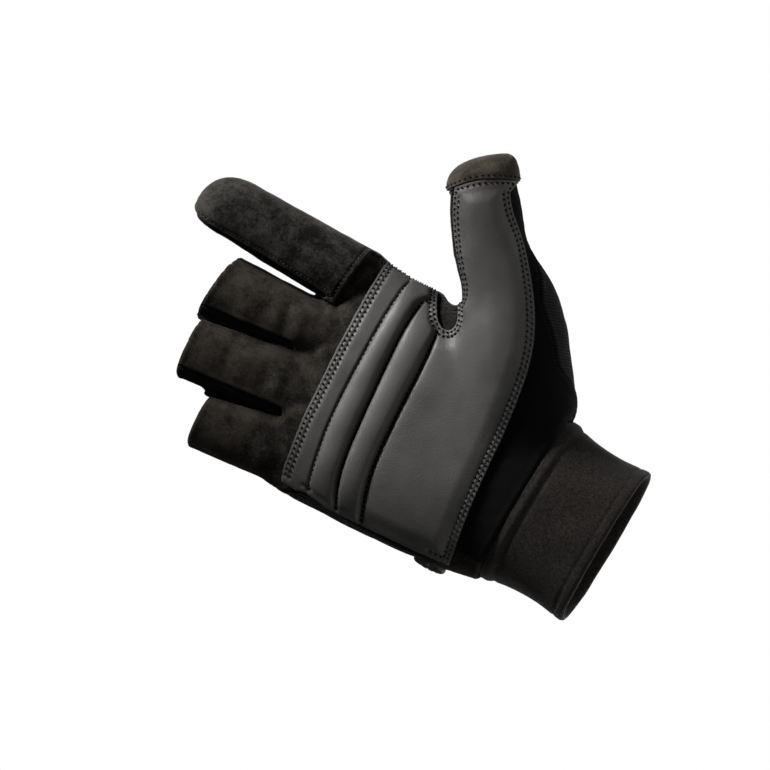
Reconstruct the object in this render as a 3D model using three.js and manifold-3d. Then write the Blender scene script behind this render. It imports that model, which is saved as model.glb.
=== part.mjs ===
// A right-hand casting glove in the shape it has when worn: a full index finger and thumb, three cut
// fingers, a padded grip patch with two ribs, and a short elastic cuff. Millimetres, +Z from the cuff
// to the fingertips, palm towards -Y, thumb towards +X. The origin is the centre of the cuff's mouth.
import * as THREE from "three";
import { mergeVertices } from "three/addons/utils/BufferGeometryUtils.js";
import Module from "manifold-3d";

const wasm = await Module();
wasm.setup();
const { smoothstep } = THREE.MathUtils;

// Driving dimensions
const GAP = 0.3; // between pieces that are sewn together
const WALL = 1.6; // suede, jersey and knit
const CUFF_WALL = 2.4;
const PATCH = 1.4; // suede over the index finger
const CAP = 1.8; // suede over the thumb's tip, with its hem
const PAD = 1.5; // grip patch at its sewn edges
const PAD_FOAM = 1.1; // what the foam adds under the main field
// Width is a share of the room between the sewn lines. Rise and fall are where along it a rib swells and fades.
const RIB = { width: 0.9, height: 2.6, bury: 1, rise: [-0.1, 0.14], fall: [0.84, 1.04] };
const CUFF_TILT = THREE.MathUtils.degToRad(4); // the cuff leans off +Z, towards the thumb
const CUFF_RAKE = THREE.MathUtils.degToRad(8); // its mouth and seam rise this steeply towards the palm
const SEAM_Z = 34.5; // the cuff's seam, on the glove's axis
const THUMB_FOLD = 0.6; // the fold under the ball of the thumb, above the seam
const LIP = { up: 6, down: 3, wall: 1.6 }; // the cuff's edge sewn inside the hand, up and down from the seam
const FOURCHETTE_HALF = 4.6; // half the depth of the strips between the fingers
const SEAM_FORWARD = 12.5; // how far the knit comes round the thumb's outer side
const INNER_FORWARD = 3.5; // and round its side next to the index finger
const SIDE_WRAP = 9; // and round the little finger's side
const WEB_Z = 122; // the fingers' side strips start here
const REACH = 400; // longer than the glove, for cutting blocks
const SEAM_GRID = 10; // spacing of the seam surface's net

// Outline of the hand without its thumb: the edges seen from the palm, and the depth to each side of y = 0
const PALM = [
  { z: 22, left: -31.6, right: 34.8, front: 21.6, back: 20 },
  { z: 34, left: -31.6, right: 35.8, front: 21.8, back: 20 },
  { z: 48, left: -33.6, right: 39, front: 21, back: 18 },
  { z: 62, left: -35.6, right: 45, front: 20.5, back: 16.5 },
  { z: 78, left: -36.4, right: 51.6, front: 19.4, back: 16 },
  { z: 94, left: -36.6, right: 54.2, front: 18, back: 15.6 },
  { z: 108, left: -36.6, right: 54.2, front: 16, back: 15 },
  { z: 119, left: -35.8, right: 55.6, front: 13.6, back: 13.6 },
  { z: 126, left: -34.8, right: 57.2, front: 9.6, back: 10 },
  { z: 129.5, left: -33, right: 55.6, front: 5.4, back: 5.6 },
];

// The hollow of the hand, in the palm's front
const HOLLOW = { x: 6, z: 84, width: 24, height: 32, depth: 1.4 };

// Fingers as straight tubes. Each pair is the value at the root and at the end.
const ROOT_Z = 114;
const FINGERS = [
  { name: "index", x: [44.9, 49.1], y: [0, -1.4], halfWidth: [11.5, 10], halfDepth: [12.2, 10], end: 192.2, cut: 0 },
  { name: "middle", x: [23.6, 20.7], y: [0, 0], halfWidth: [9.6, 13.4], halfDepth: [12.4, 11.8], end: 172, cut: -0.147 },
  { name: "ring", x: [2.2, -4.3], y: [0, 0], halfWidth: [13.9, 12.2], halfDepth: [12, 11.4], end: 171, cut: 0.03 },
  { name: "little", x: [-20.7, -27.2], y: [0.4, 0.4], halfWidth: [13.6, 10.2], halfDepth: [11.2, 10.2], end: 155.6, cut: 0.02 },
];
// The webs at the crotches that lie higher than the palm's top
const WEBS = [
  { x: 33.8, z: 130, halfWidth: 5, halfDepth: 7.5, height: 8 },
  { x: 12, z: 129, halfWidth: 5, halfDepth: 9, height: 9 },
];
const ROOT_SWELL = { start: 0.55, over: 0.25 }; // they grow out of the palm over the first quarter
const FINGERTIP = 13; // how far back the closed index fingertip starts to round
const FINGERTIP_LEAN = 5; // it rounds off more on the thumb's side

// The thumb, from the heel of the hand to the start of its rounded tip
const THUMB = [
  { x: 16, y: -2, z: 41.5, halfWidth: 20.5, front: 17, back: 14.5 },
  { x: 30.6, y: -5, z: 52.5, halfWidth: 21.8, front: 18, back: 14.5 },
  { x: 43.6, y: -7.4, z: 60.8, halfWidth: 21.4, front: 17.4, back: 14.5 },
  { x: 55.6, y: -9.4, z: 67.4, halfWidth: 20.2, front: 16.2, back: 14 },
  { x: 64.4, y: -11, z: 72.8, halfWidth: 17.2, front: 14.5, back: 13.5 },
  { x: 76.2, y: -13, z: 85.6, halfWidth: 13.5, front: 12.6, back: 12 },
  { x: 89.6, y: -15, z: 95.4, halfWidth: 12.9, front: 11.8, back: 11.2 },
  { x: 97.7, y: -16.4, z: 100.3, halfWidth: 11.6, front: 10.8, back: 10.2 },
];
const THUMB_TIP = 8.6;
const THUMB_TIP_LEAN = 9; // and the thumb's tip more on the index finger's side
const THUMB_AXIS = { x: 16, z: 41.5, dx: 0.831, dz: 0.556, y: -2, rise: -0.15, reach: [18, 27] };

// The cuff's half sizes, by height along its own leaning axis
const CUFF = [
  { z: 0, halfWidth: 31.8, front: 22, back: 21 },
  { z: 12, halfWidth: 30.5, front: 21.4, back: 20.4 },
  { z: 24, halfWidth: 31.2, front: 21.2, back: 20 },
  { z: 36, halfWidth: 33.6, front: 21.2, back: 19.4 },
];

// Corners of the grip patch seen from the palm, as [x, z]. Where it runs to a side seam it is drawn past it.
const PAD_TOP = [[-31.8, 117.4], [-27.5, 118.6], [-8.3, 120.2], [20, 120.6], [56.4, 120.2], [66, 119.6]];
const PAD_NOTCH = [[66, 104], [53.8, 97.9], [48.9, 94.9], [45.3, 92.2], [43.7, 88.6], [45.6, 85.9], [49.5, 85.4], [55.5, 88.6]];
const PAD_THUMB_SIDE = [[62, 97], [70, 106], [83.9, 115.2]];
const PAD_THUMB_HEM = [[87.6, 109.1], [96.6, 100.9], [103.3, 90.1]];
const PAD_HEEL_EDGE = [
  [98.9, 88.8], [93.4, 85], [84.6, 77.8], [72, 68], [59.2, 60.2], [45, 55.4], [25.7, 52.8], [7.5, 52], [-10.7, 51],
  [-30.8, 48.8],
];
const PAD_LITTLE_SIDE = [[-31.6, 62], [-32.4, 78], [-32.8, 94], [-32.6, 108]];
const INDEX_HEM = [[30, 130.4], [66, 125.6]]; // the patch on the index finger starts here
const HEEL_CORNER = [[-60, 30], [-25.2, 30], [-25.2, 42], [-22, 60], [-60, 60]]; // suede, by the rubber tab
const FOAM = { inset: { top: 1.2, heel: 6 }, thumbSide: [[44, 80], [54, 81], [66, 87], [72, 82]] }; // its edge
// Sewn lines across the patch, each from the little-finger side to the index side. The ribs lie between them.
const RIB_LINES = [
  [[-33.6, 106.8], [-3.7, 110.9], [33.7, 110.7], [54.9, 109.1]],
  [[-33.6, 94.6], [-16, 99.4], [14.9, 101.4], [44.9, 101.8], [52, 98.4]],
  [[-33.6, 84.2], [-15.5, 89], [3.3, 90.2], [26.3, 90.3], [43, 91]],
];

const COLOURS = {
  suede: { color: 0x2a2826, roughness: 0.95 },
  fuzzy: { color: 0x1c1b1a, roughness: 1 },
  grip: { color: 0x4a4846, roughness: 0.5 },
  knit: { color: 0x1a1a19, roughness: 0.9 },
  jersey: { color: 0x0c0c0c, roughness: 0.95 },
  elastic: { color: 0x1d1b19, roughness: 0.85 },
  rubber: { color: 0x2c2c2c, roughness: 0.45 },
};

// Solids from three.js geometry, and back

function solid(geometry) {
  const bare = new THREE.BufferGeometry();
  bare.setAttribute("position", geometry.getAttribute("position"));
  bare.setIndex(geometry.getIndex());
  const merged = mergeVertices(bare, 1e-4);
  return new wasm.Manifold(
    new wasm.Mesh({
      numProp: 3,
      vertProperties: merged.getAttribute("position").array,
      triVerts: new Uint32Array(merged.getIndex().array),
    }),
  );
}

function geometryOf(body) {
  const mesh = body.getMesh();
  const geometry = new THREE.BufferGeometry();
  geometry.setAttribute("position", new THREE.BufferAttribute(mesh.vertProperties, 3));
  geometry.setIndex(new THREE.BufferAttribute(mesh.triVerts, 1));
  geometry.computeVertexNormals();
  return geometry;
}

const joined = (bodies) => bodies.reduce((whole, body) => whole.add(body));
const largest = (body) => body.decompose().reduce((a, b) => (a.volume() > b.volume() ? a : b));

// Tubes: a cylinder whose rings are moved onto sections

const signedPower = (v, power) => Math.sign(v) * Math.abs(v) ** power;

// section(t) gives a ring's centre, its axes and half sizes, and how steeply it is cut across its width and
// raked towards the front. Squareness 2 is an ellipse. A dent is a depth taken off the front at (x, z).
function tube(section, { sides, rings, squareness = 2, dent = () => 0 }) {
  const geometry = new THREE.CylinderGeometry(1, 1, 1, sides, rings);
  const place = geometry.getAttribute("position");
  const point = new THREE.Vector3();
  for (let i = 0; i < place.count; i++) {
    const [depth, along, width] = [place.getX(i), place.getY(i), place.getZ(i)];
    const ring = section(along + 0.5);
    const across = signedPower(width, 2 / squareness) * ring.halfWidth;
    const deep = signedPower(depth, 2 / squareness);
    const behind = deep * (deep < 0 ? ring.front : ring.back);
    point
      .copy(ring.centre)
      .addScaledVector(ring.widthAxis, across)
      .addScaledVector(ring.depthAxis, behind)
      .addScaledVector(ring.alongAxis, across * (ring.cut || 0) - behind * (ring.rake || 0));
    if (deep < 0) point.y -= deep * dent(point.x, point.z);
    place.setXYZ(i, point.x, point.y, point.z);
  }
  return solid(geometry);
}

// A smooth value from a table's rows at t from 0 to 1
function between(rows, column, t) {
  const last = rows.length - 1;
  const at = Math.min(Math.max(t, 0), 1) * last;
  const row = Math.min(Math.floor(at), last - 1);
  const value = (i) => rows[Math.min(Math.max(i, 0), last)][column];
  const [a, b, c, d] = [value(row - 1), value(row), value(row + 1), value(row + 2)];
  const u = at - row;
  return 0.5 * (2 * b + (c - a) * u + (2 * a - 5 * b + 4 * c - d) * u * u + (3 * b - a - 3 * c + d) * u ** 3);
}

const UPRIGHT = {
  widthAxis: new THREE.Vector3(1, 0, 0),
  depthAxis: new THREE.Vector3(0, 1, 0),
  alongAxis: new THREE.Vector3(0, 0, 1),
};

// How far along, and how wide, a closed end is at u from 0 to 1: a dome with a small flat
function dome(u) {
  const angle = THREE.MathUtils.degToRad(82) * u;
  return { along: Math.sin(angle), width: Math.cos(angle) ** 0.8 };
}

function palmTube(grow) {
  const rows = PALM.map((row, i) => ({
    z: row.z + (i === PALM.length - 1 ? grow : 0),
    x: (row.left + row.right) / 2,
    halfWidth: (row.right - row.left) / 2 + grow,
    front: row.front + grow,
    back: row.back + grow,
  }));
  const section = (t) => ({
    ...UPRIGHT,
    centre: new THREE.Vector3(between(rows, "x", t), 0, between(rows, "z", t)),
    halfWidth: between(rows, "halfWidth", t),
    front: between(rows, "front", t),
    back: between(rows, "back", t),
  });
  const dent = (x, z) =>
    HOLLOW.depth * Math.exp(-(((x - HOLLOW.x) / HOLLOW.width) ** 2) - ((z - HOLLOW.z) / HOLLOW.height) ** 2);
  return tube(section, { sides: 30, rings: 10, squareness: 2.5, dent });
}

function fingerTube(finger, grow) {
  const closed = finger.name === "index";
  const overrun = !closed && grow < 0 ? 8 : 0; // a hollow runs out through an open end
  const bodyEnd = closed ? finger.end - FINGERTIP : finger.end + overrun;
  const bodyShare = closed ? 0.5 : 1;
  const section = (t) => {
    const u = Math.min(t / bodyShare, 1);
    const end = closed ? dome(Math.max(t - bodyShare, 0) / (1 - bodyShare)) : { along: 0, width: 1 };
    const value = ([root, tip]) => THREE.MathUtils.lerp(root, tip, u);
    const swell = THREE.MathUtils.lerp(ROOT_SWELL.start, 1, smoothstep(u, 0, ROOT_SWELL.over)) * end.width;
    return {
      ...UPRIGHT,
      centre: new THREE.Vector3(
        value(finger.x) - FINGERTIP_LEAN * (1 - end.width),
        value(finger.y),
        THREE.MathUtils.lerp(ROOT_Z, bodyEnd, u) + end.along * (FINGERTIP + grow),
      ),
      halfWidth: (value(finger.halfWidth) + grow) * swell,
      front: (value(finger.halfDepth) + grow) * swell,
      back: (value(finger.halfDepth) + grow) * swell,
      cut: finger.cut * u,
    };
  };
  return tube(section, { sides: 16, rings: closed ? 6 : 3, squareness: 2.2 });
}

function thumbTube(grow) {
  const bodyShare = 0.66;
  const centreAt = (u) => new THREE.Vector3(between(THUMB, "x", u), between(THUMB, "y", u), between(THUMB, "z", u));
  const section = (t) => {
    const u = Math.min(t / bodyShare, 1);
    const end = dome(Math.max(t - bodyShare, 0) / (1 - bodyShare));
    const step = 0.02;
    const along = centreAt(Math.min(u + step, 1)).sub(centreAt(Math.min(u, 1 - step) - step)).normalize();
    const width = new THREE.Vector3(0, 1, 0).cross(along).normalize();
    return {
      alongAxis: along,
      widthAxis: width,
      depthAxis: along.clone().cross(width),
      centre: centreAt(u)
        .addScaledVector(along, end.along * (THUMB_TIP + grow))
        .addScaledVector(width, THUMB_TIP_LEAN * (1 - end.width)),
      halfWidth: (between(THUMB, "halfWidth", u) + grow) * end.width,
      front: (between(THUMB, "front", u) + grow) * end.width,
      back: (between(THUMB, "back", u) + grow) * end.width,
    };
  };
  return tube(section, { sides: 18, rings: 10, squareness: 2.1 });
}

function webBall(web, grow) {
  const ball = new THREE.SphereGeometry(1, 8, 6).rotateX(Math.PI / 2);
  return solid(ball.scale(web.halfWidth + grow, web.halfDepth + grow, web.height + grow).translate(web.x, 0, web.z));
}

// A block on the leaning and raked cuff, from one height on its axis to another
function onCuffAxis(low, high) {
  const [bottom, top] = [low, high].map((z) => z * Math.cos(CUFF_RAKE));
  return solid(block([-REACH, -REACH, bottom], [REACH, REACH, top]).rotateX(-CUFF_RAKE).rotateY(CUFF_TILT));
}

const forms = new Map();

// The hand's outer form, grown or shrunk all over. At 0 it is the outside of the glove's walls. The ball
// of the thumb ends in a fold just above the cuff's seam.
function form(grow) {
  if (!forms.has(grow)) {
    const thumb = thumbTube(grow).intersect(onCuffAxis(SEAM_Z + THUMB_FOLD - grow, REACH));
    const fingers = FINGERS.map((finger) => fingerTube(finger, grow));
    forms.set(grow, joined([palmTube(grow), thumb, ...fingers, ...WEBS.map((web) => webBall(web, grow))]));
  }
  return forms.get(grow);
}

// Cutting bodies

function block(low, high) {
  const size = new THREE.Vector3(...high).sub(new THREE.Vector3(...low));
  const centre = new THREE.Vector3(...low).addScaledVector(size, 0.5);
  return new THREE.BoxGeometry(size.x, size.y, size.z).translate(centre.x, centre.y, centre.z);
}

// An outline seen from the palm, as a prism along Y
function prism(outline) {
  const depth = REACH;
  const geometry = new THREE.ExtrudeGeometry(outline, { depth, bevelEnabled: false });
  return solid(geometry.rotateX(Math.PI / 2).translate(0, depth / 2, 0));
}

const shapeOf = (points) => new THREE.Shape(points.map(([x, z]) => new THREE.Vector2(x, z)));

// Points of a smooth line through a few corners
const smooth = (corners, count) =>
  new THREE.SplineCurve(corners.map(([x, z]) => new THREE.Vector2(x, z))).getPoints(count).map((p) => [p.x, p.y]);

// Depth of the seam between palm side and back: the thumb's own middle on the thumb, brought forward on
// its outer side, and y = 0 elsewhere but for the back's narrow turn round the little finger's side
function seamMiddle(x, z) {
  const [dx, dz] = [x - THUMB_AXIS.x, z - THUMB_AXIS.z];
  const along = dx * THUMB_AXIS.dx + dz * THUMB_AXIS.dz;
  const outward = dx * THUMB_AXIS.dz - dz * THUMB_AXIS.dx;
  const onThumb = (1 - smoothstep(-outward, ...THUMB_AXIS.reach)) * smoothstep(along, 0, 30);
  const outer = smoothstep(outward, -8, 6) * smoothstep(along, 8, 34) * (1 - smoothstep(along, 52, 84));
  const inner = smoothstep(-outward, 2, 10) * smoothstep(along, 50, 64);
  const forward = SEAM_FORWARD * outer + INNER_FORWARD * inner;
  const sideWrap = (1 - smoothstep(x, -32, -24)) * smoothstep(z, 46, 60) * (1 - smoothstep(z, 108, 122));
  return onThumb * (THUMB_AXIS.y + THUMB_AXIS.rise * along - forward) - SIDE_WRAP * sideWrap;
}

// Half the depth of the strip between the palm side and the back: none at the outer sides
const seamSpread = (x, z) =>
  FOURCHETTE_HALF * smoothstep(x, -30, -21) * (1 - smoothstep(x, 39, 46)) * smoothstep(z, 112, 122);

const FAR = 80; // clear of the glove's front and back

// All that lies on the palm's side of a seam surface, given by its depth at (x, z)
function inFrontOf(depth) {
  const [low, high] = [new THREE.Vector3(-60, 0, -20), new THREE.Vector3(140, 0, 220)];
  const size = high.clone().sub(low);
  const [across, up] = [size.x, size.z].map((length) => Math.round(length / SEAM_GRID));
  const geometry = new THREE.BoxGeometry(size.x, 2, size.z, across, 1, up);
  geometry.translate((low.x + high.x) / 2, 0, (low.z + high.z) / 2);
  const place = geometry.getAttribute("position");
  for (let i = 0; i < place.count; i++)
    place.setY(i, place.getY(i) < 0 ? -FAR : depth(place.getX(i), place.getZ(i)));
  return solid(geometry);
}

// The same, moved by a distance
const beforeFrontSeam = (shift) => inFrontOf((x, z) => seamMiddle(x, z) - seamSpread(x, z) + shift);
const beforeBackSeam = (shift) => inFrontOf((x, z) => seamMiddle(x, z) + seamSpread(x, z) + shift);
const frontSide = beforeFrontSeam(-GAP / 2);
const upToBack = beforeBackSeam(GAP / 2);
const betweenSeams = beforeBackSeam(-GAP / 2).subtract(beforeFrontSeam(GAP / 2));

// Walls of the hand

const aboveCuff = onCuffAxis(SEAM_Z, REACH);
const walls = form(0).subtract(form(-WALL)).intersect(aboveCuff);

const heelEdge = smooth(PAD_HEEL_EDGE, 24);

// What lies on the wrist's side of the grip patch's heel edge, moved by a distance towards the fingers
function heelRegion(shift) {
  const edge = heelEdge.map(([x, z]) => [x - shift * 0.4, z + shift]);
  return prism(shapeOf([[140, 78 + shift], ...edge, [-80, 48.8 + shift], [-80, -40], [140, -40]]));
}

const palmSide = walls.intersect(frontSide);
const overlap = 3; // the heel's jersey runs on under the grip patch
const cornerOf = (shift) => prism(shapeOf(HEEL_CORNER.map(([x, z]) => [x - shift, z])));
const palmPanel = palmSide.subtract(heelRegion(overlap + GAP).subtract(cornerOf(GAP)));
const heelPanel = palmSide.intersect(heelRegion(overlap)).subtract(cornerOf(0));
const backPanel = walls.subtract(upToBack);

// The strips between neighbouring fingers
function fourchette(first, second) {
  const middleOf = (finger) => (finger.x[0] + finger.x[1]) / 2;
  const box = block([middleOf(second), -FOURCHETTE_HALF * 2, WEB_Z], [middleOf(first), FOURCHETTE_HALF * 2, REACH / 2]);
  return largest(walls.intersect(betweenSeams).intersect(solid(box)));
}

// Patches sewn on top

const overlay = (thickness) => form(GAP + thickness).subtract(form(GAP));

const padOutline = shapeOf([
  ...PAD_TOP,
  ...smooth(PAD_NOTCH, 20),
  ...smooth(PAD_THUMB_SIDE, 4),
  ...smooth(PAD_THUMB_HEM, 6),
  ...heelEdge,
  ...PAD_LITTLE_SIDE,
]);

// The front surface of a body at (x, z), found by a ray along +Y
function surface(geometry) {
  const skin = new THREE.Mesh(geometry, new THREE.MeshBasicMaterial({ side: THREE.DoubleSide }));
  skin.updateMatrixWorld(true);
  const forward = new THREE.Vector3(0, 1, 0);
  return (x, z) => {
    const hits = new THREE.Raycaster(new THREE.Vector3(x, -FAR, z), forward).intersectObject(skin);
    return hits.length ? hits[0].point.y : null;
  };
}

// A rib between two sewn lines
function rib(lineA, lineB, skinAt) {
  const [a, b] = [lineA, lineB].map((line) => new THREE.SplineCurve(line.map(([x, z]) => new THREE.Vector2(x, z))));
  const middle = (t) => a.getPoint(t).add(b.getPoint(t)).multiplyScalar(0.5);
  const centreAt = (t) => {
    const p = middle(t);
    return new THREE.Vector3(p.x, skinAt(p.x, p.y) ?? 0, p.y);
  };
  const section = (t) => {
    const u = THREE.MathUtils.lerp(0.02, 0.98, t);
    const along = centreAt(u + 0.02).sub(centreAt(u - 0.02)).setY(0).normalize();
    const room = a.getPoint(u).distanceTo(b.getPoint(u)) / 2;
    const width = new THREE.Vector3(0, 1, 0).cross(along).normalize();
    const fade = smoothstep(t, ...RIB.rise) * (1 - smoothstep(t, ...RIB.fall));
    return {
      alongAxis: along,
      widthAxis: width,
      depthAxis: along.clone().cross(width),
      centre: centreAt(u),
      halfWidth: room * RIB.width,
      front: RIB.height * fade,
      back: RIB.bury,
    };
  };
  return tube(section, { sides: 14, rings: 12 });
}

function gripPatch() {
  const skinAt = surface(geometryOf(form(GAP + PAD)));
  const outline = prism(padOutline).intersect(frontSide);
  const sheet = overlay(PAD);
  const field = overlay(PAD + PAD_FOAM).intersect(prism(fieldShape()));
  const ribs = [rib(RIB_LINES[0], RIB_LINES[1], skinAt), rib(RIB_LINES[1], RIB_LINES[2], skinAt)];
  return largest(joined([sheet, field, ...ribs]).subtract(form(GAP)).intersect(outline));
}

// The foam under the patch: the palm from the last sewn line to near the heel, short of the thumb
function fieldShape() {
  const upper = smooth(RIB_LINES[2], 10).map(([x, z]) => [x, z - FOAM.inset.top]);
  const lower = smooth(PAD_HEEL_EDGE.slice(3), 14).map(([x, z]) => [x, z + FOAM.inset.heel]);
  return shapeOf([...upper, ...FOAM.thumbSide, ...lower]);
}

function indexPatch() {
  const region = prism(shapeOf([...INDEX_HEM, [66, REACH / 2], [30, REACH / 2]]));
  return fingerTube(FINGERS[0], GAP + PATCH).subtract(form(GAP)).intersect(region).intersect(frontSide);
}

function thumbCap() {
  const edge = smooth(PAD_THUMB_HEM, 6);
  const [first, last] = [edge[0], edge[edge.length - 1]];
  const region = shapeOf([
    ...edge.map(([x, z]) => [x + GAP, z + GAP]),
    [last[0] + 4, last[1] - 8],
    [last[0] + 60, last[1]],
    [first[0] + 20, first[1] + 50],
    [first[0] - 4, first[1] + 6],
  ]);
  return overlay(CAP).intersect(prism(region));
}

function cuff() {
  const section = (thinner, low, high) => (t) => {
    const z = THREE.MathUtils.lerp(low, high, t);
    const share = Math.min(Math.max(z / CUFF[CUFF.length - 1].z, 0), 1);
    const lean = new THREE.Vector3(Math.sin(CUFF_TILT), 0, Math.cos(CUFF_TILT));
    return {
      alongAxis: lean,
      widthAxis: new THREE.Vector3(0, 1, 0).cross(lean),
      depthAxis: UPRIGHT.depthAxis,
      centre: lean.clone().multiplyScalar(z),
      halfWidth: between(CUFF, "halfWidth", share) - thinner,
      front: between(CUFF, "front", share) - thinner,
      back: between(CUFF, "back", share) - thinner,
      rake: Math.tan(CUFF_RAKE),
    };
  };
  const shape = { sides: 26, rings: 3, squareness: 2.4 };
  const sleeve = tube(section(0, 0, SEAM_Z - GAP), shape);
  const throat = tube(section(CUFF_WALL, -10, SEAM_Z + 10), shape);
  const [outer, inner] = [WALL + GAP, WALL + GAP + LIP.wall].map((depth) => palmTube(-depth));
  const edge = outer.subtract(inner).intersect(onCuffAxis(SEAM_Z - LIP.down, SEAM_Z + LIP.up));
  return sleeve.subtract(throat).add(edge);
}

// A moulded oval tab on the little-finger side of the heel
function rubberTab() {
  const tab = { centre: [-33, -0.6, 55.4], radius: 7.2, height: 4.8, across: 0.6, turn: 20 };
  const disc = new THREE.CylinderGeometry(0.86 * tab.radius, tab.radius, tab.height, 24)
    .scale(tab.across, 1, 1)
    .rotateZ(THREE.MathUtils.degToRad(90 + tab.turn))
    .translate(...tab.centre);
  return largest(solid(disc).subtract(form(GAP)));
}

// The glove: one named mesh for each sewn or moulded piece

const glove = new THREE.Group();

function addPiece(name, body, colours) {
  const mesh = new THREE.Mesh(geometryOf(body), new THREE.MeshStandardMaterial({ ...colours, metalness: 0 }));
  mesh.name = name;
  glove.add(mesh);
}

addPiece("palm_panel", palmPanel, COLOURS.suede);
addPiece("heel_panel", heelPanel, COLOURS.jersey);
addPiece("back_panel", backPanel, COLOURS.knit);
const [index, middle, ring, little] = FINGERS;
addPiece("fourchette_index_middle", fourchette(index, middle), COLOURS.suede);
addPiece("fourchette_middle_ring", fourchette(middle, ring), COLOURS.suede);
addPiece("fourchette_ring_little", fourchette(ring, little), COLOURS.suede);
addPiece("grip_patch", gripPatch(), COLOURS.grip);
addPiece("index_patch", indexPatch(), COLOURS.fuzzy);
addPiece("thumb_cap", thumbCap(), COLOURS.suede);
addPiece("cuff", cuff(), COLOURS.elastic);
addPiece("rubber_tab", rubberTab(), COLOURS.rubber);

export default glove;
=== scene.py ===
import math
from collections import namedtuple

import bmesh
import bpy
import numpy as np
from mathutils import Matrix, Vector, noise
from mathutils.bvhtree import BVHTree
from mathutils.kdtree import KDTree


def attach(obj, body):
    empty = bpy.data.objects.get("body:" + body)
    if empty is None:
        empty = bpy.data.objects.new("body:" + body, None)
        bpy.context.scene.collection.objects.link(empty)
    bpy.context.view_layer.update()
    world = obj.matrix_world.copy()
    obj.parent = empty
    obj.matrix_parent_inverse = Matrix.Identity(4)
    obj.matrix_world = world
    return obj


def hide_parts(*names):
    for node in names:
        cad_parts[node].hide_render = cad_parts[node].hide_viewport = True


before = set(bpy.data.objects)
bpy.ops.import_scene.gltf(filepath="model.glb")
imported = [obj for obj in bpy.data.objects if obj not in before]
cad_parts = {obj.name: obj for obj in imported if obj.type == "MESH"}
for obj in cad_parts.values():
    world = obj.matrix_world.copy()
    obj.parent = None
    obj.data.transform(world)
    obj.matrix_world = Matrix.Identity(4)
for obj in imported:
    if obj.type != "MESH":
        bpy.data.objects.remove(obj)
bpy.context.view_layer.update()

MM = 0.001

# Driving sizes. The seams' gap, INNER_FORWARD and some corners and depths in the tables below were fitted to
# the photograph here alone, so they differ a little from the solids'.
GAP = 0.3  # between a patch and the wall under it
SEAM_GAP = 0.1  # between two pieces sewn edge to edge
WALL = 1.6  # suede, jersey and knit
PATCH = 1.4  # suede over the index finger
CAP = 1.8  # suede over the thumb's tip
PAD = 1.5  # grip patch at its sewn edges
PAD_FOAM = 1.1  # what the foam adds inside them
CUFF_WALL = 2.4
RIB_HEIGHT = 2.6
CUFF_TILT = math.radians(4)  # the cuff leans off +Z, towards the thumb
CUFF_RAKE = math.radians(8)  # its mouth and seam rise this steeply towards the palm
SEAM_Z = 34.5  # the cuff's seam, on the glove's axis
THUMB_FOLD = 0.6  # the fold under the ball of the thumb, above the seam
SEAM_FORWARD = 12.5  # how far the knit comes round the thumb's outer side
INNER_FORWARD = 6  # and round its inner side
SIDE_WRAP = 9  # and round the little finger's side
REACH = 400  # longer than the glove

SKIN_GRID = 0.8  # the skin's quads
SKIN_SMOOTHING = 9  # rounds of it
MERGE = 0.16  # vertices this close to each other after a cut become one
LINE_POINTS = 60  # on a smooth line through a few corners
STITCH_PITCH = 1.95


def table(columns, *rows):
    """Rows with named columns."""
    row_type = namedtuple("Row", columns)
    return [row_type(*row) for row in rows]


PALM = table(
    "z left right front back",
    (22, -31.6, 34.8, 21.6, 20),
    (34, -31.6, 35.8, 21.8, 20),
    (48, -33.6, 39, 21, 18),
    (62, -35.6, 45, 20.5, 16.5),
    (78, -36.4, 51.6, 19.4, 16),
    (94, -36.6, 54.2, 18, 15.6),
    (108, -36.6, 54.2, 15.6, 15),
    (119, -35.8, 55.6, 14.4, 13.6),
    (126, -34.8, 57.2, 11.4, 10),
    (129.5, -33, 55.6, 5.4, 5.6),
)
HOLLOW = table("x z width height depth", (6, 84, 24, 32, 1.4))[0]

ROOT_Z = 114
FINGERS = table(
    "name x y half_width half_depth end cut closed",
    ("index", (44.9, 49.1), (0, -1.4), (11.5, 10), (12.2, 10), 192.2, 0, True),
    ("middle", (23.6, 20.7), (0, 0), (9.6, 13.4), (12.4, 11.8), 172, -0.147, False),
    ("ring", (2.2, -4.3), (0, 0), (13.9, 12.2), (12, 11.4), 171, 0.03, False),
    ("little", (-20.7, -27.2), (0.4, 0.4), (13.6, 10.2), (11.2, 10.2), 155.6, 0.02, False),
)
WEBS = table(
    "x y z half_width half_depth height",  # balls that fill the crotches, the last beside the thumb
    (33.8, 0, 130, 5, 7.5, 8),
    (12, 0, 129, 5, 9, 9),
    (-15, 0, 142, 3, 4, 9.5),
    (50, -9, 88, 4.5, 6, 4.5),
)
SWELL_START = 0.55
SWELL_OVER = 0.2
OVERRUN = 5  # a stall's tube is made longer than the stall, then cut
FINGERTIP = 13
FINGERTIP_LEAN = 5

THUMB = table(
    "x y z half_width front back",
    (16, -2, 41.5, 20.5, 17, 14.5),
    (30.6, -5, 52.5, 21.8, 18, 14.5),
    (43.6, -7.4, 60.8, 21.4, 17.4, 14.5),
    (55.6, -9.4, 67.4, 20.2, 16.2, 14),
    (64.4, -11, 72.8, 17.2, 14.5, 13.5),
    (76.2, -13, 85.6, 13.5, 12.6, 12),
    (89.6, -15, 95.4, 12.9, 11.8, 11.2),
    (97.7, -16.4, 100.3, 11.6, 10.8, 10.2),
)
THUMB_TIP = 8.6
THUMB_TIP_LEAN = 9
THUMB_ALONG = (0.831, 0.556)  # the thumb's direction in x and z
THUMB_START = (16, 41.5)

CUFF = table(
    "z half_width front back",
    (0, 31.8, 22, 21),
    (12, 30.5, 21.4, 20.4),
    (24, 31.2, 21.2, 20),
    (36, 33.6, 21.2, 19.4),
)

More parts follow.
